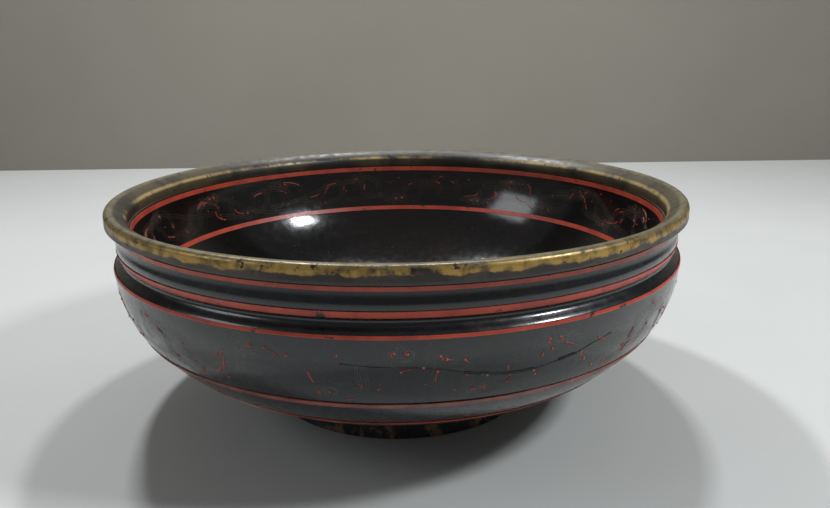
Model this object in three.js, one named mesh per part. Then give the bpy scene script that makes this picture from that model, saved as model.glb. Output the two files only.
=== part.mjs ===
// Lacquer bowl of the Han kind: a turned wood core under layers of ground and lacquer,
// ringed with red lines, with a gilt bronze band over the lip. Millimetres, +Z up, and
// the origin is the centre of the foot's bottom face.
import * as THREE from 'three';

// Overall sizes
const rimRadius = 120;
const bowlHeight = 90;
const footRadius = 58.3;
const footHeight = 7.9;
const footRingWidth = 7;
const footRecess = 3.6;
const footTaper = 0.7;
const footEdge = 0.3;
const floorHeight = 15;

// Body curve: where it leaves the foot, and how far its two handles reach
const footFlare = 2;
const footFlareHeight = 1.6;
const bodyLowShare = 0.48;
const bodyLowRise = 10;
const bodyHighShare = 0.45;

// Inside curve: set back from the band, drawn in below it, and rounded into the floor
const insideSetback = 1;
const insideTaper = 5;
const insideKneeShare = 0.28;
const insideFloorShare = 0.56;

// Rim band and the lip that it covers
const lipWidth = 8.4;
const lipRound = 2;
const lipCrest = 2.8;
const lipBevelDepth = 3.5;
const bandThickness = 1;
const bandOuterLeg = 5.2;
const bandInnerLeg = 8;

// Moulding below the rim, as depths below the lip's top and insets from the rim's radius
const neckInset = 3.8;
const neckDepth = 10.6;
const beadInset = 2.7;
const beadDepth = 13.4;
const ridgeInset = 3.8;
const ridgeDepth = 17.2;
const grooveInset = 5.2;
const grooveDepth = 19.4;
const shoulderInset = 1.6;
const shoulderDepth = 21.6;
const shoulderRound = 1.4;
const shoulderEdge = 0.6;
const neckFlare = 0.3;

// Painted lines: middles as depths below the lip or heights above the foot, and widths
const bandLineDepth = 8.3;
const bandLineWidth = 1.4;
const ridgeLineRise = 0.9;
const ridgeLineWidth = 2.2;
const shoulderLineDrop = 1.1;
const shoulderLineWidth = 1.2;
const bodyLineHeight = 41;
const bodyLineWidth = 1.8;
const lowLineHeight = 28;
const lowLineWidth = 0.9;
const insideUpperLineDrop = 1.6;
const insideUpperLineWidth = 2.2;
const insideLowerLineHeight = 58.6;
const insideLowerLineWidth = 2;

// Layers on the wood, from the inside out, and the clearance between two of them
const groundThickness = 0.8;
const lacquerThickness = 0.5;
const lineThickness = 0.25;
const layerGap = 0.1;

// Fine steps of the turned surfaces
const turnSteps = 44;
const bodySteps = 7;
const lipSteps = 3;
const insideSteps = 9;

const shoulder = new THREE.Vector2(rimRadius - shoulderInset, bowlHeight - shoulderDepth - shoulderRound);
const footJoint = new THREE.Vector2(footRadius + footFlare, footHeight + footFlareHeight);
const outsideTop = bowlHeight - bandOuterLeg - layerGap;
const insideTop = bowlHeight - bandInnerLeg - layerGap;

// The outside from the foot's edge up to the band, as a chain of points
const bodyCurve = new THREE.CubicBezierCurve(
  footJoint,
  new THREE.Vector2(THREE.MathUtils.lerp(footJoint.x, shoulder.x, bodyLowShare), footJoint.y + bodyLowRise),
  new THREE.Vector2(shoulder.x, THREE.MathUtils.lerp(footJoint.y, shoulder.y, bodyHighShare)),
  shoulder,
);
const outside = [
  new THREE.Vector2(footRadius, footEdge),
  new THREE.Vector2(footRadius - footTaper, footHeight),
  ...bodyCurve.getPoints(bodySteps),
  new THREE.Vector2(rimRadius - shoulderInset - shoulderEdge, bowlHeight - shoulderDepth),
  new THREE.Vector2(rimRadius - grooveInset, bowlHeight - grooveDepth),
  new THREE.Vector2(rimRadius - ridgeInset, bowlHeight - ridgeDepth),
  new THREE.Vector2(rimRadius - beadInset, bowlHeight - beadDepth),
  new THREE.Vector2(rimRadius - neckInset, bowlHeight - neckDepth),
  new THREE.Vector2(rimRadius - neckInset + neckFlare, outsideTop),
];

// The inside from the lip down to the middle of the floor
const insideRadius = rimRadius - lipWidth - insideSetback;
const insideCurve = new THREE.CubicBezierCurve(
  new THREE.Vector2(insideRadius, insideTop),
  new THREE.Vector2(
    insideRadius - insideTaper,
    THREE.MathUtils.lerp(floorHeight, insideTop, insideKneeShare),
  ),
  new THREE.Vector2(insideRadius * insideFloorShare, floorHeight),
  new THREE.Vector2(0, floorHeight),
);
const inside = insideCurve.getPoints(insideSteps);

// The lip's outside face: up from the band's outer edge, over the crest, down the bevel
const lipArc = new THREE.Path().absarc(rimRadius - lipRound, bowlHeight - lipRound, lipRound, 0, Math.PI / 2);
const lip = [
  new THREE.Vector2(rimRadius, bowlHeight - bandOuterLeg),
  ...lipArc.getPoints(lipSteps).slice(0, -1),
  new THREE.Vector2(rimRadius - lipRound, bowlHeight),
  new THREE.Vector2(rimRadius - lipCrest, bowlHeight),
  new THREE.Vector2(rimRadius - lipWidth, bowlHeight - lipBevelDepth),
  new THREE.Vector2(rimRadius - lipWidth, bowlHeight - bandInnerLeg),
];

// A chain moved sideways, to its left, which is into the wood both outside and inside
function inset(chain, depth) {
  return chain.map((point, index) => {
    const before = chain[Math.max(index - 1, 0)];
    const after = chain[Math.min(index + 1, chain.length - 1)];
    const along = after.clone().sub(before).normalize();
    const radius = point.x === 0 ? 0 : point.x - along.y * depth;
    const height = point.x === 0 ? point.y - depth : point.y + along.x * depth;
    return new THREE.Vector2(radius, height);
  });
}

// A turned solid: the outline is closed and wound so that its faces point out
function turned(name, outline, material) {
  const loop = [...outline];
  const area = loop.reduce((sum, point, index) => {
    const next = loop[(index + 1) % loop.length];
    return sum + point.x * next.y - next.x * point.y;
  }, 0);
  if (area < 0) {
    loop.reverse();
  }
  const start = loop.findIndex((point, index) => {
    const previous = loop[(index + loop.length - 1) % loop.length];
    return point.x === 0 && previous.x === 0;
  });
  const ordered = start < 0 ? [...loop, loop[0]] : [...loop.slice(start), ...loop.slice(0, start)];
  const geometry = new THREE.LatheGeometry(ordered, turnSteps);
  geometry.rotateX(Math.PI / 2);
  const mesh = new THREE.Mesh(geometry, material);
  mesh.name = name;
  return mesh;
}

// A layer between two depths of a chain
function layer(name, chain, from, to, material) {
  const outline = [...inset(chain, from), ...inset(chain, to).reverse()];
  return turned(name, outline, material);
}

const materials = {
  wood: new THREE.MeshStandardMaterial({ color: 0x6b4a2e, roughness: 0.75, metalness: 0 }),
  ground: new THREE.MeshStandardMaterial({ color: 0x8f8470, roughness: 0.9, metalness: 0 }),
  lacquer: new THREE.MeshStandardMaterial({ color: 0x15171b, roughness: 0.22, metalness: 0 }),
  red: new THREE.MeshStandardMaterial({ color: 0xa52d1c, roughness: 0.4, metalness: 0 }),
  gilt: new THREE.MeshStandardMaterial({ color: 0xa88a50, roughness: 0.38, metalness: 0.8 }),
};

const lacquerDepth = lineThickness + layerGap;
const groundDepth = lacquerDepth + lacquerThickness + layerGap;
const woodDepth = groundDepth + groundThickness + layerGap;
const bowl = new THREE.Group();

// Wood core: body, floor, lip and foot ring turned from one block
function woodCore() {
  const outer = inset(outside, woodDepth);
  outer[0].y = 0;
  const inner = inset(inside, woodDepth);
  const lipCore = inset(lip, bandThickness + layerGap).slice(1);
  lipCore[lipCore.length - 1].y = insideTop;
  const recessRadius = footRadius - footRingWidth;
  const outline = [
    new THREE.Vector2(recessRadius, 0),
    ...outer,
    ...lipCore,
    ...inner,
    new THREE.Vector2(0, footRecess),
    new THREE.Vector2(recessRadius, footRecess),
  ];
  return turned('wood_core', outline, materials.wood);
}

// Part of a chain between two heights, with its end points worked out between the chain's own
function stretch(chain, low, high) {
  const climbing = chain[0].y < chain[chain.length - 1].y ? chain : [...chain].reverse();
  const at = (height) => {
    const index = climbing.findIndex((point, i) => i > 0 && point.y >= height);
    const below = climbing[index - 1];
    const above = climbing[index];
    return below.clone().lerp(above, (height - below.y) / (above.y - below.y));
  };
  const between = climbing.filter((point) => point.y > low + 0.05 && point.y < high - 0.05);
  const part = [at(low), ...between, at(high)];
  return chain === climbing ? part : part.reverse();
}

// Painted lines: name, face, height of the middle above the foot, and width up the wall
const redLines = [
  ['red_line_under_band', outside, bowlHeight - bandLineDepth, bandLineWidth],
  ['red_line_on_ridge', outside, bowlHeight - ridgeDepth + ridgeLineRise, ridgeLineWidth],
  ['red_line_on_shoulder', outside, bowlHeight - shoulderDepth - shoulderLineDrop, shoulderLineWidth],
  ['red_line_on_body', outside, bodyLineHeight, bodyLineWidth],
  ['red_line_low_on_body', outside, lowLineHeight, lowLineWidth],
  ['red_line_inside_upper', inside, insideTop - insideUpperLineDrop, insideUpperLineWidth],
  ['red_line_inside_lower', inside, insideLowerLineHeight, insideLowerLineWidth],
];

bowl.add(woodCore());
for (const [side, chain] of [['outside', outside], ['inside', inside]]) {
  bowl.add(layer('ground_' + side, chain, groundDepth, groundDepth + groundThickness, materials.ground));
  bowl.add(layer('lacquer_' + side, chain, lacquerDepth, lacquerDepth + lacquerThickness, materials.lacquer));
}
bowl.add(layer('rim_band', lip, 0, bandThickness, materials.gilt));
for (const [name, chain, middle, width] of redLines) {
  const part = stretch(chain, middle - width / 2, middle + width / 2);
  bowl.add(layer(name, part, 0, lineThickness, materials.red));
}

// Lacquer in the recess under the foot
const undersideRadius = footRadius - footRingWidth - layerGap;
const undersideTop = footRecess - layerGap;
bowl.add(turned('lacquer_underside', [
  new THREE.Vector2(0, undersideTop - lacquerThickness),
  new THREE.Vector2(undersideRadius, undersideTop - lacquerThickness),
  new THREE.Vector2(undersideRadius, undersideTop),
  new THREE.Vector2(0, undersideTop),
], materials.lacquer));

export default bowl;
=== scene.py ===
import math
import random

import bmesh
import bpy
from mathutils import Matrix, Vector


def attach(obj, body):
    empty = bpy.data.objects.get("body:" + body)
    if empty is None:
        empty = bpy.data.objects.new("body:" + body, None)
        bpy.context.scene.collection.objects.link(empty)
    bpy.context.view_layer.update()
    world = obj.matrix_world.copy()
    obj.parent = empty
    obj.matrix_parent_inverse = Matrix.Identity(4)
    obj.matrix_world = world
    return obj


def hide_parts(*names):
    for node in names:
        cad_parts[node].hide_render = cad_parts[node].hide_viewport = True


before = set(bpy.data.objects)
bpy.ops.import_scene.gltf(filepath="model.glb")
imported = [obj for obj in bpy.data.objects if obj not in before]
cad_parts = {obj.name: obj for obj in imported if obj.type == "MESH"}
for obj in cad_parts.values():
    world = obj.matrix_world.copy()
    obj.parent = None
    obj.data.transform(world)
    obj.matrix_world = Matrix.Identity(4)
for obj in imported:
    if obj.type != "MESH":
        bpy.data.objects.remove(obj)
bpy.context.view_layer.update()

# Sizes of the bowl in millimetres, as the frame has them
MM = 0.001
RIM_RADIUS = 120.0
BOWL_HEIGHT = 90.0
FOOT_RADIUS = 58.3
FOOT_HEIGHT = 7.9
FOOT_TAPER = 0.7
FOOT_EDGE = 0.3
FLOOR_HEIGHT = 15.0

# Body curve: where it leaves the foot, and how far its two handles reach
FOOT_FLARE = 2.0
FOOT_FLARE_HEIGHT = 1.6
BODY_LOW_SHARE = 0.48
BODY_LOW_RISE = 10.0
BODY_HIGH_SHARE = 0.45

# Inside curve: set back from the band, drawn in below it, and rounded into the floor
INSIDE_SETBACK = 1.0
INSIDE_TAPER = 5.0
INSIDE_KNEE_SHARE = 0.28
INSIDE_FLOOR_SHARE = 0.56

# Rim band and the lip that it covers
LIP_WIDTH = 8.4
LIP_ROUND = 2.0
LIP_CREST = 2.8
LIP_BEVEL_DEPTH = 3.5
BAND_THICKNESS = 1.0
BAND_OUTER_LEG = 5.2
BAND_INNER_LEG = 8.0

# Moulding below the rim: insets from the rim's radius and depths below the lip's top
NECK_INSET, NECK_DEPTH, NECK_FLARE = 3.8, 10.6, 0.3
BEAD_INSET, BEAD_DEPTH = 2.7, 13.4
RIDGE_INSET, RIDGE_DEPTH = 3.8, 17.2
GROOVE_INSET, GROOVE_DEPTH = 5.2, 19.4
SHOULDER_INSET, SHOULDER_DEPTH = 1.6, 21.6
SHOULDER_ROUND, SHOULDER_EDGE = 1.4, 0.4

# Layers on the wood and the clearance between two of them
LINE_THICKNESS = 0.25
LACQUER_THICKNESS = 0.5
GROUND_THICKNESS = 0.8
LAYER_GAP = 0.1
SURFACE_DEPTH = LINE_THICKNESS + LAYER_GAP
LACQUER_END = SURFACE_DEPTH + LACQUER_THICKNESS
GROUND_START = LACQUER_END + LAYER_GAP
GROUND_END = GROUND_START + GROUND_THICKNESS
OUTSIDE_TOP = BOWL_HEIGHT - BAND_OUTER_LEG - LAYER_GAP
INSIDE_TOP = BOWL_HEIGHT - BAND_INNER_LEG - LAYER_GAP

# Painted lines: places below the lip, by the moulding or above the foot, and widths
BAND_LINE_DEPTH, BAND_LINE_WIDTH = 8.3, 1.4
RIDGE_LINE_RISE, RIDGE_LINE_WIDTH = 0.9, 2.2
SHOULDER_LINE_DROP, SHOULDER_LINE_WIDTH = 1.1, 1.2
BODY_LINE_HEIGHT, BODY_LINE_WIDTH = 41.0, 1.8
LOW_LINE_HEIGHT, LOW_LINE_WIDTH = 28.0, 0.9
INSIDE_UPPER_DROP, INSIDE_UPPER_WIDTH = 1.6, 2.2
INSIDE_LOWER_HEIGHT, INSIDE_LOWER_WIDTH = 58.6, 2.0

# Fineness of the turned surfaces
TURN_STEPS = 256
BODY_STEPS = 40
INSIDE_STEPS = 48
LIP_STEPS = 8
SHARP_DEGREES = 50
ON_AXIS = 1e-6
END_CLEARANCE = 0.02


def bezier(a, b, c, d, steps):
    """Points of a cubic curve, both ends included."""
    points = []
    for index in range(steps + 1):
        t = index / steps
        s = 1 - t
        points.append(a * s**3 + b * (3 * s * s * t) + c * (3 * s * t * t) + d * t**3)
    return points


def soften(points, rounds=2):
    """Corner cutting that keeps the two ends of a chain."""
    for _ in range(rounds):
        cut = [points[0]]
        for a, b in zip(points, points[1:]):
            cut.append(a.lerp(b, 0.25))
            cut.append(a.lerp(b, 0.75))
        cut.append(points[-1])
        points = cut
    return points


def outside_chain():
    """The finished outside from the foot's edge to the rim band."""
    joint = Vector((FOOT_RADIUS + FOOT_FLARE, FOOT_HEIGHT + FOOT_FLARE_HEIGHT))
    shoulder = Vector((RIM_RADIUS - SHOULDER_INSET, BOWL_HEIGHT - SHOULDER_DEPTH - SHOULDER_ROUND))
    low = Vector((joint.x + BODY_LOW_SHARE * (shoulder.x - joint.x), joint.y + BODY_LOW_RISE))
    high = Vector((shoulder.x, joint.y + BODY_HIGH_SHARE * (shoulder.y - joint.y)))
    foot = soften([
        Vector((FOOT_RADIUS, FOOT_EDGE)),
        Vector((FOOT_RADIUS - FOOT_TAPER, FOOT_HEIGHT)),
        joint,
    ])
    moulding = [
        shoulder,
        Vector((RIM_RADIUS - SHOULDER_INSET - SHOULDER_EDGE, BOWL_HEIGHT - SHOULDER_DEPTH)),
        Vector((RIM_RADIUS - GROOVE_INSET, BOWL_HEIGHT - GROOVE_DEPTH)),
        Vector((RIM_RADIUS - RIDGE_INSET, BOWL_HEIGHT - RIDGE_DEPTH)),
        Vector((RIM_RADIUS - BEAD_INSET, BOWL_HEIGHT - BEAD_DEPTH)),
        Vector((RIM_RADIUS - NECK_INSET, BOWL_HEIGHT - NECK_DEPTH)),
        Vector((RIM_RADIUS - NECK_INSET + NECK_FLARE, OUTSIDE_TOP)),
    ]
    return foot[:-1] + bezier(joint, low, high, shoulder, BODY_STEPS)[:-1] + soften(moulding)


def inside_chain():
    """The finished inside from the rim band down to the middle of the floor."""
    top = RIM_RADIUS - LIP_WIDTH - INSIDE_SETBACK
    knee_height = FLOOR_HEIGHT + INSIDE_KNEE_SHARE * (INSIDE_TOP - FLOOR_HEIGHT)
    return bezier(
        Vector((top, INSIDE_TOP)),
        Vector((top - INSIDE_TAPER, knee_height)),
        Vector((top * INSIDE_FLOOR_SHARE, FLOOR_HEIGHT)),
        Vector((0, FLOOR_HEIGHT)),
        INSIDE_STEPS,
    )


def lip_chain():
    """The lip's outside face: up from the band's outer edge, over the crest and down the bevel."""
    arc = []
    for step in range(LIP_STEPS + 1):
        turn = math.radians(90 / LIP_STEPS * step)
        arc.append(Vector((RIM_RADIUS - LIP_ROUND * (1 - math.cos(turn)),
                           BOWL_HEIGHT - LIP_ROUND * (1 - math.sin(turn)))))
    inner = soften([
        Vector((RIM_RADIUS - LIP_CREST, BOWL_HEIGHT)),
        Vector((RIM_RADIUS - LIP_WIDTH, BOWL_HEIGHT - LIP_BEVEL_DEPTH)),
        Vector((RIM_RADIUS - LIP_WIDTH, BOWL_HEIGHT - BAND_INNER_LEG)),
    ], rounds=1)
    return [Vector((RIM_RADIUS, BOWL_HEIGHT - BAND_OUTER_LEG))] + arc + inner


def inset(chain, depth):
    """The chain moved to its left, which is into the wood."""
    moved = []
    for index, point in enumerate(chain):
        before = chain[max(index - 1, 0)]
        after = chain[min(index + 1, len(chain) - 1)]
        along = (after - before).normalized()
        if point.x == 0:
            moved.append(Vector((0, point.y - depth)))
        else:
            moved.append(Vector((point.x - along.y * depth, point.y + along.x * depth)))
    return moved


def place(radius, angle, height):
    """A point of the turned bowl in metres. Angle 0 is the front, and it grows to the right."""
    return Vector((radius * math.sin(angle), -radius * math.cos(angle), height)) * MM


def new_piece(name, mesh, material, slot, *nodes):
    """An object of the bowl that stands for CAD nodes."""
    piece = bpy.data.objects.new(name, mesh)
    bpy.context.scene.collection.objects.link(piece)
    mesh.materials.clear()
    mesh.materials.append(material)
    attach(piece, "root")
    if nodes:
        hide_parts(*nodes)
    return piece


def turned_mesh(name, outline):
    """A closed turned shell from a closed outline of radius and height."""
    work = bmesh.new()
    angles = [math.tau * k / TURN_STEPS for k in range(TURN_STEPS)]
    rings = []
    for point in outline:
        if point.x < ON_AXIS:
            rings.append([work.verts.new(place(0, 0, point.y))] * TURN_STEPS)
        else:
            rings.append([work.verts.new(place(point.x, angle, point.y)) for angle in angles])
    for ring, following in zip(rings, rings[1:] + rings[:1]):
        for k in range(TURN_STEPS):
            j = (k + 1) % TURN_STEPS
            corners = []
            for vertex in (ring[k], ring[j], following[j], following[k]):
                if vertex not in corners:
                    corners.append(vertex)
            if len(corners) > 2:
                work.faces.new(corners)
    bmesh.ops.recalc_face_normals(work, faces=work.faces)
    for face in work.faces:
        face.smooth = True
    mesh = bpy.data.meshes.new(name)
    work.to_mesh(mesh)
    work.free()
    mesh.set_sharp_from_angle(angle=math.radians(SHARP_DEGREES))
    return mesh


def layer_mesh(name, chain, start, end):
    """A layer of the wall between two depths of a chain."""
    return turned_mesh(name, inset(chain, start) + inset(chain, end)[::-1])


def stretch(chain, low, high):
    """The part of a chain between two heights."""
    climbing = chain if chain[0].y < chain[-1].y else chain[::-1]

    def at(height):
        for below, above in zip(climbing, climbing[1:]):
            if above.y >= height:
                return below.lerp(above, (height - below.y) / (above.y - below.y))
        return climbing[-1]

    between = [point for point in climbing if low + END_CLEARANCE < point.y < high - END_CLEARANCE]
    part = [at(low)] + between + [at(high)]
    return part if climbing is chain else part[::-1]


# Node helpers

def socket(tree, name, kind, side="INPUT", default=None):
    made = tree.interface.new_socket(name=name, in_out=side, socket_type=kind)
    if default is not None:
        made.default_value = default
    return made


def add(tree, kind, values=None, **settings):
    node = tree.nodes.new(kind)
    for key, value in settings.items():
        setattr(node, key, value)
    for key, value in (values or {}).items():
        node.inputs[key].default_value = value
    return node


def math_node(tree, operation, first, second):
    """A Math node whose two inputs are sockets or plain numbers."""
    node = add(tree, "ShaderNodeMath", operation=operation)
    for index, value in enumerate((first, second)):
        if isinstance(value, (int, float)):
            node.inputs[index].default_value = value
        else:
            tree.links.new(value, node.inputs[index])
    return node.outputs[0]


def mix_colour(tree, factor, first, second):
    """A colour mix whose factor is a socket, and whose colours are sockets or tuples."""
    node = add(tree, "ShaderNodeMix", data_type="RGBA")
    tree.links.new(factor, node.inputs["Factor"])
    for name, value in (("A", first), ("B", second)):
        slot_in = [s for s in node.inputs if s.name == name and s.type == "RGBA"][0]
        if isinstance(value, tuple):
            slot_in.default_value = (*value, 1)
        else:
            tree.links.new(value, slot_in)
    return [s for s in node.outputs if s.type == "RGBA"][0]


def spread(tree, value, low, high, start=0.0, end=1.0):
    """A Map Range from low..high to start..end."""
    limits = {"From Min": low, "From Max": high, "To Min": start, "To Max": end}
    node = add(tree, "ShaderNodeMapRange", limits)
    tree.links.new(value, node.inputs["Value"])
    return node.outputs["Result"]


def patch_group():
    """Worn patches: a soft-edged mask with a ragged outline."""
    tree = bpy.data.node_groups.new("worn_patches", "ShaderNodeTree")
    socket(tree, "Vector", "NodeSocketVector")
    socket(tree, "Scale", "NodeSocketFloat", default=30.0)
    socket(tree, "Threshold", "NodeSocketFloat", default=0.5)
    socket(tree, "Softness", "NodeSocketFloat", default=0.05)
    socket(tree, "Bias", "NodeSocketFloat", default=0.0)
    socket(tree, "Mask", "NodeSocketFloat", side="OUTPUT")
    inside = add(tree, "NodeGroupInput")
    outside = add(tree, "NodeGroupOutput")
    large = add(tree, "ShaderNodeTexNoise", {"Detail": 8.0, "Roughness": 0.62})
    tree.links.new(inside.outputs["Vector"], large.inputs["Vector"])
    tree.links.new(inside.outputs["Scale"], large.inputs["Scale"])
    ramp = add(tree, "ShaderNodeMapRange", interpolation_type="SMOOTHSTEP")
    biased = math_node(tree, "ADD", large.outputs["Fac"], inside.outputs["Bias"])
    tree.links.new(biased, ramp.inputs["Value"])
    tree.links.new(inside.outputs["Threshold"], ramp.inputs["From Min"])
    top = math_node(tree, "ADD", inside.outputs["Threshold"], inside.outputs["Softness"])
    tree.links.new(top, ramp.inputs["From Max"])
    tree.links.new(ramp.outputs["Result"], outside.inputs["Mask"])
    return tree


def grain_group():
    """Fine unevenness of a hand-rubbed face: a height and a mask of tiny scratches."""
    tree = bpy.data.node_groups.new("rubbed_face", "ShaderNodeTree")
    socket(tree, "Vector", "NodeSocketVector")
    socket(tree, "Scale", "NodeSocketFloat", default=200.0)
    socket(tree, "Height", "NodeSocketFloat", side="OUTPUT")
    socket(tree, "Scratches", "NodeSocketFloat", side="OUTPUT")
    inside = add(tree, "NodeGroupInput")
    outside = add(tree, "NodeGroupOutput")
    noise = add(tree, "ShaderNodeTexNoise", {"Detail": 5.0, "Roughness": 0.55})
    tree.links.new(inside.outputs["Vector"], noise.inputs["Vector"])
    tree.links.new(inside.outputs["Scale"], noise.inputs["Scale"])
    wave = add(tree, "ShaderNodeTexNoise", {"Detail": 2.0, "Distortion": 2.5})
    stretched = add(tree, "ShaderNodeMapping")
    stretched.inputs["Scale"].default_value = (1.0, 1.0, 14.0)
    tree.links.new(inside.outputs["Vector"], stretched.inputs["Vector"])
    tree.links.new(stretched.outputs["Vector"], wave.inputs["Vector"])
    tree.links.new(inside.outputs["Scale"], wave.inputs["Scale"])
    lines = spread(tree, wave.outputs["Fac"], 0.66, 0.7)
    tree.links.new(noise.outputs["Fac"], outside.inputs["Height"])
    tree.links.new(lines, outside.inputs["Scratches"])
    return tree


def place_group(tree, group, coordinates, **values):
    """A copy of a shader node group in a material, with its own values."""
    node = add(tree, "ShaderNodeGroup")
    node.node_tree = group
    tree.links.new(coordinates, node.inputs["Vector"])
    for key, value in values.items():
        node.inputs[key].default_value = value
    return node


def start_material(name, **constants):
    """A material with one Principled shader, and its object coordinates."""
    material = bpy.data.materials.new(name)
    material.use_nodes = True
    tree = material.node_tree
    shader = tree.nodes["Principled BSDF"]
    for key, value in constants.items():
        shader.inputs[key.replace("_", " ")].default_value = value
    where = add(tree, "ShaderNodeTexCoord")
    return material, tree, shader, where.outputs["Object"]


def bump(tree, shader, height, strength, distance):
    node = add(tree, "ShaderNodeBump", {"Strength": strength, "Distance": distance})
    tree.links.new(height, node.inputs["Height"])
    tree.links.new(node.outputs["Normal"], shader.inputs["Normal"])


def height_mask(tree, coordinates, low, high):
    """1 above the higher height, 0 under the lower one, in metres."""
    split = add(tree, "ShaderNodeSeparateXYZ")
    tree.links.new(coordinates, split.inputs[0])
    return spread(tree, split.outputs["Z"], low, high)


def radius_mask(tree, coordinates, low, high):
    """1 beyond the larger distance from the axis, 0 within the smaller one, in metres."""
    split = add(tree, "ShaderNodeSeparateXYZ")
    tree.links.new(coordinates, split.inputs[0])
    squares = []
    for axis in ("X", "Y"):
        squares.append(math_node(tree, "MULTIPLY", split.outputs[axis], split.outputs[axis]))
    radius = math_node(tree, "SQRT", math_node(tree, "ADD", *squares), 0.0)
    return spread(tree, radius, low, high)


PATCHES = patch_group()
RUBBED = grain_group()


# Colours of the finishes, as linear light
BARE_BROWN = (0.2, 0.085, 0.03)
BARE_GREY = (0.13, 0.13, 0.11)
RUBBED_THROUGH = (0.035, 0.02, 0.018)
DARK_BRONZE, WARM_BRONZE = (0.03, 0.021, 0.017), (0.075, 0.055, 0.04)
DARK_BEVEL, BROWN_BEVEL = (0.02, 0.016, 0.011), (0.075, 0.057, 0.027)
BRIGHT_GILDING, DULL_GILDING = (0.5, 0.32, 0.09), (0.2, 0.125, 0.035)
# Pale olive: a painted highlight along the top of the lip
OLIVE_CREST_HIGHLIGHT, DARK_OLIVE_CREST_HIGHLIGHT = (0.17, 0.145, 0.075), (0.085, 0.07, 0.04)
# Bright gold on the crease: partly worn gold, partly a painted highlight on that edge
CREASE_HIGHLIGHT = (0.6, 0.44, 0.2)
PIT_BROWN = (0.03, 0.022, 0.018)

# Wear and painted highlights on the rim band: heights and distances from the axis in metres
GOLD_FROM, GOLD_FULL = 0.0852, 0.0872
CREST_FROM, CREST_FULL = 0.0888, 0.0895
OUTER_FACE_FROM, OUTER_FACE_FULL = 0.1182, 0.119
CREST_INNER_FROM, CREST_INNER_FULL = 0.1158, 0.117
CREASE_LOW_FROM, CREASE_LOW_FULL = 0.0855, 0.0862
CREASE_HIGH_FROM, CREASE_HIGH_FULL = 0.0875, 0.0868
CREASE_REACH_FROM, CREASE_REACH_FULL = 0.1134, 0.1124


def lacquer_material(name, black, brown, worn, roughness, worn_below):
    """Black lacquer with brown show-through, rubbed patches, dust specks and a worn low edge."""
    material, tree, shader, where = start_material(name, Coat_Weight=0.5, Coat_Roughness=0.1)
    brownish = place_group(tree, PATCHES, where, Scale=14.0, Threshold=0.46, Softness=0.22)
    specks = place_group(tree, PATCHES, where, Scale=420.0, Threshold=0.68, Softness=0.02)
    chips = place_group(tree, PATCHES, where, Scale=85.0, Threshold=0.5, Softness=0.08)
    rubbed = place_group(tree, RUBBED, where, Scale=240.0)
    colour = mix_colour(tree, brownish.outputs["Mask"], black, brown)
    colour = mix_colour(tree, math_node(tree, "MULTIPLY", rubbed.outputs["Scratches"], 0.22), colour, worn)
    colour = mix_colour(tree, math_node(tree, "MULTIPLY", specks.outputs["Mask"], 0.5), colour, worn)
    low = height_mask(tree, where, worn_below, worn_below * 0.8)
    edge = math_node(tree, "MULTIPLY", low, chips.outputs["Mask"])
    bare = mix_colour(tree, brownish.outputs["Mask"], BARE_BROWN, BARE_GREY)
    colour = mix_colour(tree, edge, colour, bare)
    tree.links.new(colour, shader.inputs["Base Color"])
    rough = spread(tree, rubbed.outputs["Height"], 0.3, 0.7, roughness * 0.75, roughness * 1.35)
    rough = math_node(tree, "ADD", rough, math_node(tree, "MULTIPLY", edge, 0.35))
    tree.links.new(rough, shader.inputs["Roughness"])
    bump(tree, shader, rubbed.outputs["Height"], 0.12, 0.0004)
    return material


def red_material(name, bright, dark):
    """Red lacquer paint: uneven, rubbed through to black in places."""
    material, tree, shader, where = start_material(name, Coat_Weight=0.2, Coat_Roughness=0.25)
    uneven = place_group(tree, PATCHES, where, Scale=90.0, Threshold=0.4, Softness=0.25)
    rubbed_off = place_group(tree, PATCHES, where, Scale=190.0, Threshold=0.62, Softness=0.05)
    rubbed = place_group(tree, RUBBED, where, Scale=400.0)
    colour = mix_colour(tree, uneven.outputs["Mask"], bright, dark)
    colour = mix_colour(tree, rubbed_off.outputs["Mask"], colour, RUBBED_THROUGH)
    tree.links.new(colour, shader.inputs["Base Color"])
    rough = spread(tree, rubbed.outputs["Height"], 0.3, 0.7, 0.3, 0.5)
    tree.links.new(rough, shader.inputs["Roughness"])
    bump(tree, shader, rubbed.outputs["Height"], 0.2, 0.0003)
    return material


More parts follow.
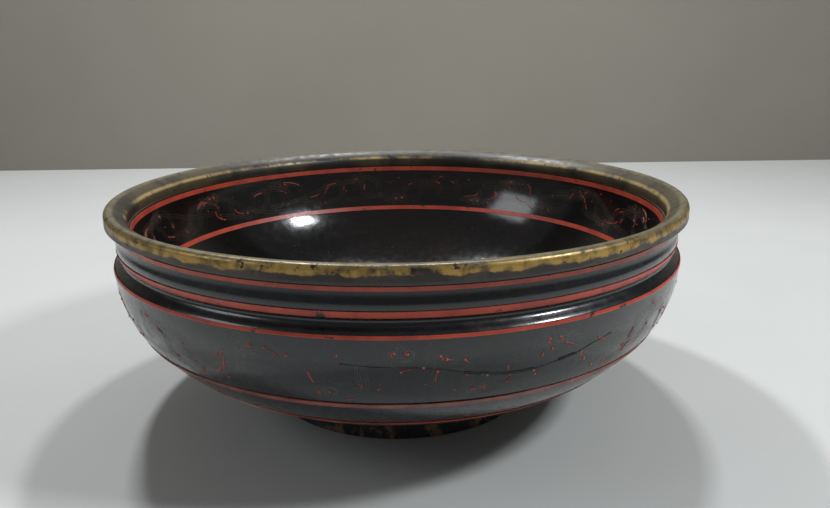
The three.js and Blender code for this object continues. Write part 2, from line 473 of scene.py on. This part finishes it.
def gilt_material():
    """Gilding worn to dark bronze: gold on the outer face, brown bevel, a pale olive crest that is a
    painted highlight on the lip's top, and a bright crease that is partly worn gold and partly a painted
    highlight.
    """
    material, tree, shader, where = start_material("worn_gilding")
    gold = place_group(tree, PATCHES, where, Scale=105.0, Threshold=0.5, Softness=0.16)
    up_face = height_mask(tree, where, GOLD_FROM, GOLD_FULL)
    kept_gold = math_node(tree, "SUBTRACT", math_node(tree, "MULTIPLY", up_face, 0.34), 0.2)
    tree.links.new(kept_gold, gold.inputs["Bias"])
    bloom = place_group(tree, PATCHES, where, Scale=34.0, Threshold=0.4, Softness=0.2)
    mottle = place_group(tree, PATCHES, where, Scale=230.0, Threshold=0.42, Softness=0.25)
    pits = place_group(tree, PATCHES, where, Scale=330.0, Threshold=0.6, Softness=0.05)
    rubbed = place_group(tree, RUBBED, where, Scale=300.0)
    outer = radius_mask(tree, where, OUTER_FACE_FROM, OUTER_FACE_FULL)
    golden = math_node(tree, "MULTIPLY", gold.outputs["Mask"], outer)
    bronze = mix_colour(tree, bloom.outputs["Mask"], DARK_BRONZE, WARM_BRONZE)
    bevel = mix_colour(tree, bloom.outputs["Mask"], DARK_BEVEL, BROWN_BEVEL)
    gilding = mix_colour(tree, mottle.outputs["Mask"], BRIGHT_GILDING, DULL_GILDING)
    colour = mix_colour(tree, outer, bevel, bronze)
    colour = mix_colour(tree, golden, colour, gilding)
    # Pale olive on the lip's crest: a painted highlight on the top of the lip, lighter than the bronze
    # around it
    olive = mix_colour(tree, mottle.outputs["Mask"], OLIVE_CREST_HIGHLIGHT, DARK_OLIVE_CREST_HIGHLIGHT)
    crest_top = height_mask(tree, where, CREST_FROM, CREST_FULL)
    crest_side = radius_mask(tree, where, CREST_INNER_FROM, CREST_INNER_FULL)
    crest = math_node(tree, "MULTIPLY", crest_top, crest_side)
    colour = mix_colour(tree, math_node(tree, "MULTIPLY", crest, 0.85), colour, olive)
    # The crease between the bevel and the inner leg gets a bright gold line, broken by the bloom patches:
    # partly worn gold, partly a painted highlight on that edge
    above = height_mask(tree, where, CREASE_LOW_FROM, CREASE_LOW_FULL)
    below = height_mask(tree, where, CREASE_HIGH_FROM, CREASE_HIGH_FULL)
    within = radius_mask(tree, where, CREASE_REACH_FROM, CREASE_REACH_FULL)
    crease = math_node(tree, "MULTIPLY", above, below)
    crease = math_node(tree, "MULTIPLY", crease, within)
    crease = math_node(tree, "MULTIPLY", crease, bloom.outputs["Mask"])
    colour = mix_colour(tree, crease, colour, CREASE_HIGHLIGHT)
    colour = mix_colour(tree, pits.outputs["Mask"], colour, PIT_BROWN)
    tree.links.new(colour, shader.inputs["Base Color"])
    shiny = math_node(tree, "MAXIMUM", golden, crease)
    tree.links.new(math_node(tree, "MULTIPLY", shiny, 0.5), shader.inputs["Metallic"])
    rough = spread(tree, rubbed.outputs["Height"], 0.3, 0.7, 0.3, 0.5)
    tree.links.new(rough, shader.inputs["Roughness"])
    relief = math_node(tree, "SUBTRACT", golden, pits.outputs["Mask"])
    bump(tree, shader, relief, 0.2, 0.0003)
    return material


def plain_material(name, colour, other, roughness):
    """Wood or ground: two close tones with a fine tooth."""
    material, tree, shader, where = start_material(name)
    tones = place_group(tree, PATCHES, where, Scale=40.0, Threshold=0.4, Softness=0.25)
    rubbed = place_group(tree, RUBBED, where, Scale=180.0)
    tree.links.new(mix_colour(tree, tones.outputs["Mask"], colour, other), shader.inputs["Base Color"])
    rough = spread(tree, rubbed.outputs["Height"], 0.3, 0.7, roughness * 0.85, roughness)
    tree.links.new(rough, shader.inputs["Roughness"])
    bump(tree, shader, rubbed.outputs["Height"], 0.3, 0.0005)
    return material


BLACK_OUTSIDE = lacquer_material(
    "black_lacquer_outside",
    black=(0.008, 0.0095, 0.013),
    brown=(0.015, 0.013, 0.012),
    worn=(0.1, 0.095, 0.09),
    roughness=0.25,
    worn_below=0.0094,
)
# The inside copy of the black lacquer is darker than the outside one: painted shade inside the bowl
SHADED_BLACK_INSIDE = lacquer_material(
    "shaded_black_lacquer_inside",
    black=(0.004, 0.0038, 0.004),
    brown=(0.009, 0.006, 0.005),
    worn=(0.16, 0.13, 0.1),
    roughness=0.14,
    worn_below=0.0,
)
RED = red_material("vermilion_lacquer", (0.55, 0.075, 0.035), (0.4, 0.05, 0.03))
PALE_RED = red_material("rubbed_red_lacquer", (0.36, 0.1, 0.07), (0.2, 0.05, 0.04))
GILT = gilt_material()
WOOD = plain_material("aged_wood", (0.2, 0.115, 0.055), (0.11, 0.065, 0.035), 0.8)
GROUND = plain_material("ash_ground", (0.36, 0.31, 0.24), (0.24, 0.2, 0.15), 0.9)
HAIRLINE = plain_material("incised_hairline", (0.2, 0.19, 0.17), (0.1, 0.095, 0.09), 0.5)
WARM_HAIRLINE = plain_material("warm_incised_hairline", (0.14, 0.085, 0.045), (0.06, 0.035, 0.02), 0.5)
CRACK = plain_material("open_crack", (0.004, 0.004, 0.004), (0.012, 0.01, 0.009), 0.7)
RESIDUE = plain_material("ground_residue", (0.5, 0.4, 0.27), (0.36, 0.24, 0.15), 0.9)

CHAIN_OUT = outside_chain()
CHAIN_IN = inside_chain()


# Turned layers and the band: piece, chain, depths it lies between, finish, slot and node
COAT_DEPTHS = (SURFACE_DEPTH, LACQUER_END)
GROUND_DEPTHS = (GROUND_START, GROUND_END)
BAND_DEPTHS = (0, BAND_THICKNESS)
TURNED_PIECES = (
    ("outer_lacquer_coat", CHAIN_OUT, COAT_DEPTHS, BLACK_OUTSIDE, "lacquer", "lacquer_outside"),
    ("inner_lacquer_coat", CHAIN_IN, COAT_DEPTHS, SHADED_BLACK_INSIDE, "lacquer", "lacquer_inside"),
    ("outer_ash_ground", CHAIN_OUT, GROUND_DEPTHS, GROUND, "ground", "ground_outside"),
    ("inner_ash_ground", CHAIN_IN, GROUND_DEPTHS, GROUND, "ground", "ground_inside"),
    ("gilt_rim_band", lip_chain(), BAND_DEPTHS, GILT, "gilt", "rim_band"),
)
for name, chain, depths, finish, slot, node in TURNED_PIECES:
    new_piece(name, layer_mesh(name, chain, *depths), finish, slot, node)

# Painted lines: node, chain, middle height, width and finish
BAND_LINE = BOWL_HEIGHT - BAND_LINE_DEPTH
RIDGE_LINE = BOWL_HEIGHT - RIDGE_DEPTH + RIDGE_LINE_RISE
SHOULDER_LINE = BOWL_HEIGHT - SHOULDER_DEPTH - SHOULDER_LINE_DROP
LINES = (
    ("red_line_under_band", CHAIN_OUT, BAND_LINE, BAND_LINE_WIDTH, RED),
    ("red_line_on_ridge", CHAIN_OUT, RIDGE_LINE, RIDGE_LINE_WIDTH, RED),
    ("red_line_on_shoulder", CHAIN_OUT, SHOULDER_LINE, SHOULDER_LINE_WIDTH, RED),
    ("red_line_on_body", CHAIN_OUT, BODY_LINE_HEIGHT, BODY_LINE_WIDTH, PALE_RED),
    ("red_line_low_on_body", CHAIN_OUT, LOW_LINE_HEIGHT, LOW_LINE_WIDTH, RED),
    ("red_line_inside_upper", CHAIN_IN, INSIDE_TOP - INSIDE_UPPER_DROP, INSIDE_UPPER_WIDTH, RED),
    ("red_line_inside_lower", CHAIN_IN, INSIDE_LOWER_HEIGHT, INSIDE_LOWER_WIDTH, RED),
)
for node, chain, middle, width, finish in LINES:
    part = stretch(chain, middle - width / 2, middle + width / 2)
    mesh = layer_mesh("painted_" + node, part, 0, LINE_THICKNESS)
    new_piece("painted_" + node, mesh, finish, "red", node)

# CAD nodes that stay get their finish
for node, finish in (("wood_core", WOOD), ("lacquer_underside", BLACK_OUTSIDE)):
    node_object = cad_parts[node]
    node_object.data.materials.clear()
    node_object.data.materials.append(finish)


# Geometry trees

def stroke_tree():
    """Fine lines: every edge path of the guide becomes a thin three-sided cord."""
    tree = bpy.data.node_groups.new("fine_strokes", "GeometryNodeTree")
    socket(tree, "Geometry", "NodeSocketGeometry")
    socket(tree, "Half Width", "NodeSocketFloat", default=0.0001)
    socket(tree, "Finish", "NodeSocketMaterial")
    socket(tree, "Geometry", "NodeSocketGeometry", side="OUTPUT")
    start = add(tree, "NodeGroupInput")
    end = add(tree, "NodeGroupOutput")
    curve = add(tree, "GeometryNodeMeshToCurve")
    profile = add(tree, "GeometryNodeCurvePrimitiveCircle", {"Resolution": 3})
    sweep = add(tree, "GeometryNodeCurveToMesh", {"Fill Caps": True})
    whole = add(tree, "GeometryNodeRealizeInstances")
    finish = add(tree, "GeometryNodeSetMaterial")
    tree.links.new(start.outputs["Geometry"], curve.inputs["Mesh"])
    tree.links.new(start.outputs["Half Width"], profile.inputs["Radius"])
    tree.links.new(curve.outputs["Curve"], sweep.inputs["Curve"])
    tree.links.new(profile.outputs["Curve"], sweep.inputs["Profile Curve"])
    tree.links.new(sweep.outputs["Mesh"], whole.inputs["Geometry"])
    tree.links.new(whole.outputs["Geometry"], finish.inputs["Geometry"])
    tree.links.new(start.outputs["Finish"], finish.inputs["Material"])
    tree.links.new(finish.outputs["Geometry"], end.inputs["Geometry"])
    return tree


def dab_tree():
    """Brush dabs: every point of the guide gets a small ball of random size."""
    tree = bpy.data.node_groups.new("brush_dabs", "GeometryNodeTree")
    socket(tree, "Geometry", "NodeSocketGeometry")
    socket(tree, "Radius", "NodeSocketFloat", default=0.0005)
    socket(tree, "Smallest", "NodeSocketFloat", default=0.5)
    socket(tree, "Seed", "NodeSocketInt", default=1)
    socket(tree, "Finish", "NodeSocketMaterial")
    socket(tree, "Geometry", "NodeSocketGeometry", side="OUTPUT")
    start = add(tree, "NodeGroupInput")
    end = add(tree, "NodeGroupOutput")
    points = add(tree, "GeometryNodeMeshToPoints")
    dome = add(tree, "GeometryNodeMeshIcoSphere", {"Subdivisions": 2})
    size = add(tree, "FunctionNodeRandomValue", {"Max": 1.0}, data_type="FLOAT")
    placed = add(tree, "GeometryNodeInstanceOnPoints")
    whole = add(tree, "GeometryNodeRealizeInstances")
    finish = add(tree, "GeometryNodeSetMaterial")
    float_sockets = {s.name: s for s in size.inputs if s.type == "VALUE"}
    tree.links.new(start.outputs["Smallest"], float_sockets["Min"])
    float_sockets["Max"].default_value = 1.0
    tree.links.new(start.outputs["Seed"], size.inputs["Seed"])
    scale = [s for s in size.outputs if s.type == "VALUE"][0]
    tree.links.new(start.outputs["Geometry"], points.inputs["Mesh"])
    tree.links.new(start.outputs["Radius"], dome.inputs["Radius"])
    tree.links.new(points.outputs["Points"], placed.inputs["Points"])
    tree.links.new(dome.outputs["Mesh"], placed.inputs["Instance"])
    tree.links.new(scale, placed.inputs["Scale"])
    tree.links.new(placed.outputs["Instances"], whole.inputs["Geometry"])
    tree.links.new(whole.outputs["Geometry"], finish.inputs["Geometry"])
    tree.links.new(start.outputs["Finish"], finish.inputs["Material"])
    tree.links.new(finish.outputs["Geometry"], end.inputs["Geometry"])
    return tree


def grown_mesh(name, tree, points, edges, values):
    """Runs a geometry tree on a guide of points and edges, and returns the plain mesh."""
    guide_mesh = bpy.data.meshes.new(name + "_guide")
    guide_mesh.from_pydata(points, edges, [])
    guide = bpy.data.objects.new(name + "_guide", guide_mesh)
    bpy.context.scene.collection.objects.link(guide)
    modifier = guide.modifiers.new(name, "NODES")
    modifier.node_group = tree
    for item in tree.interface.items_tree:
        if item.item_type == "SOCKET" and item.in_out == "INPUT" and item.name in values:
            modifier[item.identifier] = values[item.name]
    depsgraph = bpy.context.evaluated_depsgraph_get()
    mesh = bpy.data.meshes.new_from_object(guide.evaluated_get(depsgraph), depsgraph=depsgraph)
    bpy.data.objects.remove(guide)
    return mesh


STROKES = stroke_tree()
DABS = dab_tree()


class Belt:
    """A belt of the wall between two heights, with places counted in millimetres."""

    def __init__(self, chain, low, high, lift):
        self.chain = inset(stretch(chain, low, high), SURFACE_DEPTH - lift)
        if self.chain[0].y > self.chain[-1].y:
            self.chain = self.chain[::-1]
        lengths = [(b - a).length for a, b in zip(self.chain, self.chain[1:])]
        self.height = sum(lengths)
        self.lengths = lengths
        self.radius = self.chain[len(self.chain) // 2].x
        self.around = math.tau * self.radius

    def at(self, along, up):
        """The place at a distance round the belt and a share of its height."""
        left = min(max(up, 0), 1) * self.height
        point = self.chain[-1]
        for a, b, length in zip(self.chain, self.chain[1:], self.lengths):
            if left <= length:
                point = a.lerp(b, left / length)
                break
            left -= length
        return place(point.x, along / self.radius, point.y)


def curl(centre, begin, turns, radius, steps=20):
    """A curl that opens from its centre."""
    points = []
    for index in range(steps + 1):
        t = index / steps
        angle = begin + turns * math.tau * t
        reach = radius * (0.12 + 0.88 * t)
        points.append((centre[0] + reach * math.cos(angle), centre[1] + reach * math.sin(angle)))
    return points


def sweep(start, length, middle, rise, lean, offset, steps=22):
    """A flowing S line across the belt, set off sideways by an offset."""
    points = []
    for index in range(steps + 1):
        t = index / steps
        u = start + length * t + lean * length * math.sin(math.tau * t)
        v = middle - rise * math.cos(math.pi * t)
        du = length * (1 + lean * math.tau * math.cos(math.tau * t))
        dv = rise * math.pi * math.sin(math.pi * t)
        size = math.hypot(du, dv)
        points.append((u - offset * dv / size, v + offset * du / size))
    return points


# Swing of the cloud scroll, as shares of the belt's height and of a unit's length
SWING_SHARE = 0.36
SECOND_BUNDLE_SHIFT, SECOND_BUNDLE_SHARE = 0.42, 0.7
BUNDLE_LENGTH_SHARE = 0.95
LONG_LINE_SHARE = 2.4
CURL_SIDE_SHARE, CURL_RISE_SHARE = 0.42, 0.3
CURL_RADIUS_SHARE, RED_CURL_RADIUS_SHARE = 0.1, 0.045
STROKE_CHANCE, RED_CURL_CHANCE = 0.3, 0.6


def cloud_scroll(belt, unit, lines_in_bundle, spacing, stroke_steps, seed):
    """Cloud scroll for one belt: bundles of fine lines that swing up and down, with curls.

    Returns the fine lines and the short strokes that are picked out in red."""
    rng = random.Random(seed)
    count = 2 * round(belt.around / unit / 2)
    length = belt.around / count
    tall = belt.height
    fine, picked = [], []
    for index in range(count):
        flip = 1 if index % 2 else -1
        start = index * length
        for shift, share in ((0.0, 1.0), (SECOND_BUNDLE_SHIFT, SECOND_BUNDLE_SHARE)):
            begin = start + shift * length + rng.uniform(-0.05, 0.05) * length
            rise = flip * tall * SWING_SHARE * share * rng.uniform(0.85, 1.0)
            lean = rng.uniform(0.1, 0.2)
            middle = tall * (0.5 + rng.uniform(-0.06, 0.06))
            for k in range(lines_in_bundle):
                offset = (k - lines_in_bundle / 2) * spacing
                line = sweep(begin, length * BUNDLE_LENGTH_SHARE, middle, rise, lean, offset)
                fine.append(line)
                if rng.random() < STROKE_CHANCE:
                    first = rng.randrange(2, 17)
                    picked.append(line[first:first + rng.choice(stroke_steps)])
        if index % 2 == 0:
            long_rise = tall * rng.uniform(0.15, 0.4) * rng.choice((-1, 1))
            long_middle = tall * rng.uniform(0.35, 0.65)
            for k in range(3):
                offset = (k - 1) * spacing
                reach = length * LONG_LINE_SHARE
                fine.append(sweep(start, reach, long_middle, long_rise, 0.05, offset, steps=34))
        for side in (-1, 1):
            across = start + length * (0.5 + CURL_SIDE_SHARE * side)
            centre = (across, tall * (0.5 + CURL_RISE_SHARE * side * flip))
            begin = rng.uniform(0, math.tau)
            for k in range(3):
                fine.append(curl(centre, begin, 1.3 * flip, tall * CURL_RADIUS_SHARE + k * spacing))
            if rng.random() < RED_CURL_CHANCE:
                small = tall * RED_CURL_RADIUS_SHARE
                picked.append(curl(centre, begin + 1.0, 0.5 * flip, small, steps=8))
    return fine, picked


def laid_out(belt, lines):
    """Guide points and edges for lines given in the belt's own places."""
    points, edges = [], []
    for line in lines:
        first = len(points)
        points.extend(belt.at(u, v / belt.height) for u, v in line)
        edges.extend((first + k, first + k + 1) for k in range(len(line) - 1))
    return points, edges


def scatter(belt, count, seed):
    """Seeded places over a belt."""
    rng = random.Random(seed)
    return [belt.at(rng.uniform(0, belt.around), rng.uniform(0.12, 0.9)) for _ in range(count)]


# The two belts: lowest and highest place up the wall, and lift over the lacquer, in millimetres
WALL_BELT = Belt(CHAIN_OUT, 42.4, 67.2, -0.03)
INNER_BELT = Belt(CHAIN_IN, 60.0, 79.0, 0.02)
LOOSE_DOTS = 40
HEAD_WIDTH = 1.9

# Scrolls: name, belt, unit, lines in a bundle, spacing, steps of a stroke, seed, finish and half widths
SCROLLS = (
    ("on_wall", WALL_BELT, 25.0, 6, 0.75, (2, 2, 3, 4), 11, HAIRLINE, 0.00006, 0.00026),
    ("inside", INNER_BELT, 23.0, 4, 0.9, (3, 5, 7), 23, WARM_HAIRLINE, 0.00005, 0.00024),
)
for name, belt, unit, in_bundle, spacing, steps, seed, finish, fine_half, red_half in SCROLLS:
    fine, picked = cloud_scroll(belt, unit, in_bundle, spacing, steps, seed)
    points, edges = laid_out(belt, fine)
    mesh = grown_mesh("clouds_" + name, STROKES, points, edges, {"Half Width": fine_half, "Finish": finish})
    new_piece("incised_clouds_" + name, mesh, finish, "lacquer")
    points, edges = laid_out(belt, picked)
    mesh = grown_mesh("strokes_" + name, STROKES, points, edges, {"Half Width": red_half, "Finish": RED})
    new_piece("red_strokes_" + name, mesh, RED, "red")
    heads = [belt.at(line[0][0], line[0][1] / belt.height) for line in picked]
    values = {"Radius": red_half * HEAD_WIDTH, "Smallest": 0.6, "Seed": seed, "Finish": RED}
    mesh = grown_mesh("heads_" + name, DABS, heads + scatter(belt, LOOSE_DOTS, seed + 5), [], values)
    new_piece("red_dots_" + name, mesh, RED, "red")


def wall_place(degrees, height, lift=0.0):
    """A place on the outside at an angle from the front and a height in millimetres."""
    point = stretch(CHAIN_OUT, height, height + 1)[0]
    return place(point.x - SURFACE_DEPTH + lift, math.radians(degrees), height)


# The crack across the front of the wall, with bits of ground along it
CRACK_PATH = ((-9, 58.5), (-4, 57.6), (2, 57.2), (6.4, 56.1), (9.5, 54.4), (12.6, 53.2), (16.8, 51.9),
              (21.1, 52.1), (25.5, 53.6), (28.6, 54.6), (31.3, 56.4), (36.0, 58.6))
CRACK_LIFT = 0.02
crack_points = [wall_place(degrees, height, CRACK_LIFT) for degrees, height in CRACK_PATH]
crack_edges = [(k, k + 1) for k in range(len(crack_points) - 1)]
mesh = grown_mesh("crack", STROKES, crack_points, crack_edges, {"Half Width": 0.00022, "Finish": CRACK})
new_piece("wall_crack", mesh, CRACK, "lacquer")
wide_edges = [(4, 5), (5, 6), (6, 7), (8, 9)]
mesh = grown_mesh("open_crack", STROKES, crack_points, wide_edges, {"Half Width": 0.0006, "Finish": CRACK})
new_piece("open_wall_crack", mesh, CRACK, "lacquer")

# Bits of pale ground: at the crack, along the neck under the band, and on the lip's crest
CRACK_BITS = ((12.4, 53.0), (13.1, 52.7), (17, 51.5), (21, 51.7))
CRACK_BIT_LIFT, NECK_BIT_LIFT = 0.05, 0.1
NECK_BITS = 70
NECK_BIT_HEIGHT = 84.1
CREST_BIT_RADIUS = 118.9
CREST_BIT_DROP = 0.6

# Clusters on the crest: angle in the middle, half the spread and count
CREST_CLUSTERS = ((-5.0, 2.2, 17), (-122.5, 0.7, 7), (57.0, 0.9, 8))
residue_rng = random.Random(71)
residue = [wall_place(degrees, height, CRACK_BIT_LIFT) for degrees, height in CRACK_BITS]
for _ in range(NECK_BITS):
    residue.append(wall_place(residue_rng.uniform(14, 40), NECK_BIT_HEIGHT, NECK_BIT_LIFT))
for middle, half, bits in CREST_CLUSTERS:
    for _ in range(bits):
        degrees = middle + residue_rng.uniform(-half, half)
        residue.append(place(CREST_BIT_RADIUS, math.radians(degrees), BOWL_HEIGHT - CREST_BIT_DROP))
values = {"Radius": 0.0005, "Smallest": 0.35, "Seed": 5, "Finish": RESIDUE}
mesh = grown_mesh("residue", DABS, residue, [], values)
new_piece("ground_residue_bits", mesh, RESIDUE, "ground")


# Floor, light and camera

def floor_material():
    material, tree, shader, where = start_material("pale_floor", Roughness=0.6)
    tones = place_group(tree, PATCHES, where, Scale=3.0, Threshold=0.3, Softness=0.4)
    colour = mix_colour(tree, tones.outputs["Mask"], (0.6, 0.61, 0.59), (0.64, 0.65, 0.63))
    tree.links.new(colour, shader.inputs["Base Color"])
    return material


def backdrop_material():
    material, tree, shader, where = start_material("grey_backdrop", Roughness=0.9)
    tones = place_group(tree, PATCHES, where, Scale=2.0, Threshold=0.3, Softness=0.4)
    colour = mix_colour(tree, tones.outputs["Mask"], (0.27, 0.25, 0.21), (0.3, 0.28, 0.235))
    tree.links.new(colour, shader.inputs["Base Color"])
    return material


# Stage sizes in metres
STAGE_HALF = 3.0
WALL_AWAY = 0.63
BACKDROP_HEIGHT = 2


def stage_sheet(name, corners, finish):
    mesh = bpy.data.meshes.new(name)
    mesh.from_pydata(corners, [], [(0, 1, 2, 3)])
    mesh.materials.append(finish)
    sheet = bpy.data.objects.new(name, mesh)
    bpy.context.scene.collection.objects.link(sheet)


FLOOR_CORNERS = [
    (-STAGE_HALF, -STAGE_HALF, 0),
    (STAGE_HALF, -STAGE_HALF, 0),
    (STAGE_HALF, WALL_AWAY, 0),
    (-STAGE_HALF, WALL_AWAY, 0),
]
BACKDROP_CORNERS = [
    (-STAGE_HALF, WALL_AWAY, 0),
    (STAGE_HALF, WALL_AWAY, 0),
    (STAGE_HALF, WALL_AWAY, BACKDROP_HEIGHT),
    (-STAGE_HALF, WALL_AWAY, BACKDROP_HEIGHT),
]
stage_sheet("floor", FLOOR_CORNERS, floor_material())
stage_sheet("backdrop", BACKDROP_CORNERS, backdrop_material())


def softbox(name, position, target, size, power, colour):
    light = bpy.data.lights.new(name, "AREA")
    light.shape = "RECTANGLE"
    light.size, light.size_y = size
    light.energy = power
    light.color = colour
    holder = bpy.data.objects.new(name, light)
    holder.location = position
    aim = Vector(target) - Vector(position)
    holder.rotation_euler = aim.to_track_quat("-Z", "Y").to_euler()
    bpy.context.scene.collection.objects.link(holder)


# Lamps: name, position, target, size, power and colour
COOL, PALE_COOL = (0.93, 0.96, 1.0), (0.95, 0.97, 1.0)
LAMPS = (
    ("overhead_left", (-0.3, 0.42, 0.95), (0, 0, 0.04), (0.09, 0.05), 5.0, PALE_COOL),
    ("overhead_right", (0.12, 0.42, 1.0), (0, 0, 0.04), (0.09, 0.05), 4.0, PALE_COOL),
    ("right_front", (0.6, -0.25, 0.66), (0, 0, 0.06), (0.12, 0.12), 4.2, COOL),
    ("left_fill", (-0.9, -0.3, 0.6), (0, 0, 0.05), (0.4, 0.4), 1.5, COOL),
)
for lamp in LAMPS:
    softbox(*lamp)

world = bpy.data.worlds.new("studio")
world.use_nodes = True
background = world.node_tree.nodes["Background"]
background.inputs["Color"].default_value = (0.4, 0.4, 0.4, 1)
background.inputs["Strength"].default_value = 0.3
bpy.context.scene.world = world

# Camera solved from the photograph's rings and outline, on a frame 830 pixels wide
FRAME_WIDTH = 830
FOCAL_PIXELS = 747.3
SENSOR_WIDTH = 36.0
EYE = Vector((0.0, -321.8, 150.2)) * MM
PITCH, YAW, ROLL = math.radians(15.74), math.radians(1.256), math.radians(-0.573)
forward = Vector((math.sin(YAW) * math.cos(PITCH), math.cos(YAW) * math.cos(PITCH), -math.sin(PITCH)))
right = forward.cross(Vector((0, 0, 1))).normalized()
upward = right.cross(forward)
level_right = right * math.cos(ROLL) + upward * math.sin(ROLL)
level_up = upward * math.cos(ROLL) - right * math.sin(ROLL)
camera_data = bpy.data.cameras.new("photo_view")
camera_data.sensor_width = SENSOR_WIDTH
camera_data.lens = SENSOR_WIDTH * FOCAL_PIXELS / FRAME_WIDTH
camera = bpy.data.objects.new("photo_view", camera_data)
turn = Matrix((level_right, level_up, -forward)).transposed()
camera.matrix_world = Matrix.Translation(EYE) @ turn.to_4x4()
bpy.context.scene.collection.objects.link(camera)
bpy.context.scene.camera = camera
bpy.context.scene.view_settings.view_transform = "Standard"
